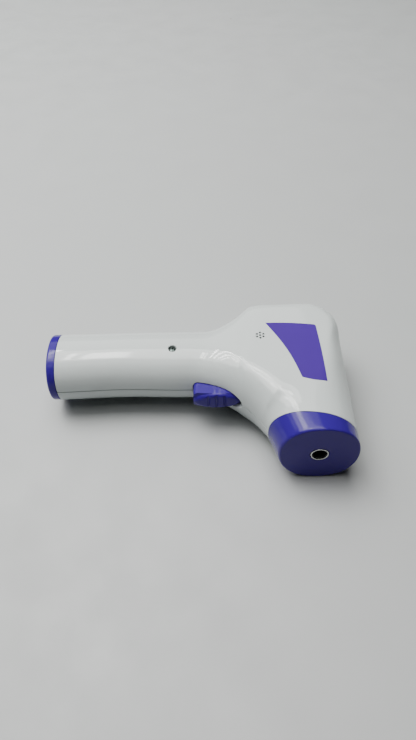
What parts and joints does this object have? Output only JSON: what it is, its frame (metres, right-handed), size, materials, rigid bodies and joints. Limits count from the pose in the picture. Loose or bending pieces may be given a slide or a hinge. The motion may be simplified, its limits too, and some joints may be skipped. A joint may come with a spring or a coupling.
{
  "type": "infrared forehead thermometer",
  "caption": "Handheld non-contact infrared thermometer: straight grip with end cap, angled head with round nose, squeeze trigger, rear display and keys.",
  "frame": {"origin": "on the surface it lies on, under the centre of its bounding box", "axes": "+X from the grip's end cap to the top of the head, -Y the way the nose points, +Z the thermometer's right side, which faces up as it lies on its left side"},
  "size_m": [0.1474, 0.0858, 0.0366],
  "materials": {
    "white_shell": "gloss white moulded ABS",
    "purple_trim": "satin-gloss violet-blue moulded ABS",
    "label": "printed plain violet polycarbonate film",
    "sensor_metal": "bright machined ring",
    "can_metal": "pressed metal can",
    "spring_steel": "nickel-plated steel",
    "screw_metal": "zinc-plated steel",
    "black_plastic": "matt black",
    "bezel_plastic": "gloss black",
    "board": "green solder mask",
    "window": "clear acrylic",
    "lcd": "grey-green liquid-crystal panel",
    "milky_plastic": "translucent milky light guide",
    "cell_sleeve": "plain shrink sleeve",
    "grey_cable": "insulated cable",
    "red_cable": "insulated cable",
    "black_cable": "insulated cable"
  },
  "bodies": {
    "housing": {"backlight": "milky_plastic", "battery_cradle": "black_plastic", "buzzer": "black_plastic", "buzzer_lead": "red_cable", "cell_plate": "spring_steel", "cell_spring": "spring_steel", "controller_chip": "black_plastic", "display_bezel": "bezel_plastic", "display_window": "window", "down_switch": "black_plastic", "front_cell": "cell_sleeve", "grip_screw": "screw_metal", "label_panel": "label", "lcd_panel": "lcd", "left_shell": "white_shell", "main_board": "board", "mode_switch": "black_plastic", "negative_lead": "black_cable", "nose_ring": "purple_trim", "positive_lead": "red_cable", "rear_cell": "cell_sleeve", "right_shell": "white_shell", "sensor_board": "board", "sensor_lead": "grey_cable", "sensor_ring": "sensor_metal", "sensor_tube": "black_plastic", "thermopile": "can_metal", "trigger_board": "board", "trigger_lead": "grey_cable", "trigger_spring": "spring_steel", "trigger_switch": "black_plastic", "up_switch": "black_plastic"},
    "trigger": {"trigger": "purple_trim"},
    "up_key": {"up_key": "purple_trim"},
    "mode_key": {"mode_key": "purple_trim"},
    "down_key": {"down_key": "purple_trim"},
    "end_cap": {"end_cap": "purple_trim", "cap_bridge": "spring_steel"}
  },
  "joints": [
    {"name": "trigger_slide", "type": "slide", "parent": "housing", "child": "trigger", "axis": [0, 1, 0], "range_m": [0, 0.003], "stiffness_N_per_m": 600, "springref_m": -0.001, "deforming": ["trigger_spring"]},
    {"name": "up_key_slide", "type": "slide", "parent": "housing", "child": "up_key", "axis": [0, -1, 0], "range_m": [0, 0.0007], "stiffness_N_per_m": 900, "springref_m": -0.0003},
    {"name": "mode_key_slide", "type": "slide", "parent": "housing", "child": "mode_key", "axis": [0, -1, 0], "range_m": [0, 0.0007], "stiffness_N_per_m": 900, "springref_m": -0.0003},
    {"name": "down_key_slide", "type": "slide", "parent": "housing", "child": "down_key", "axis": [0, -1, 0], "range_m": [0, 0.0007], "stiffness_N_per_m": 900, "springref_m": -0.0003},
    {"name": "end_cap_slide", "type": "slide", "parent": "housing", "child": "end_cap", "axis": [-1, 0, 0], "range_m": [0, 0.03]}
  ]
}
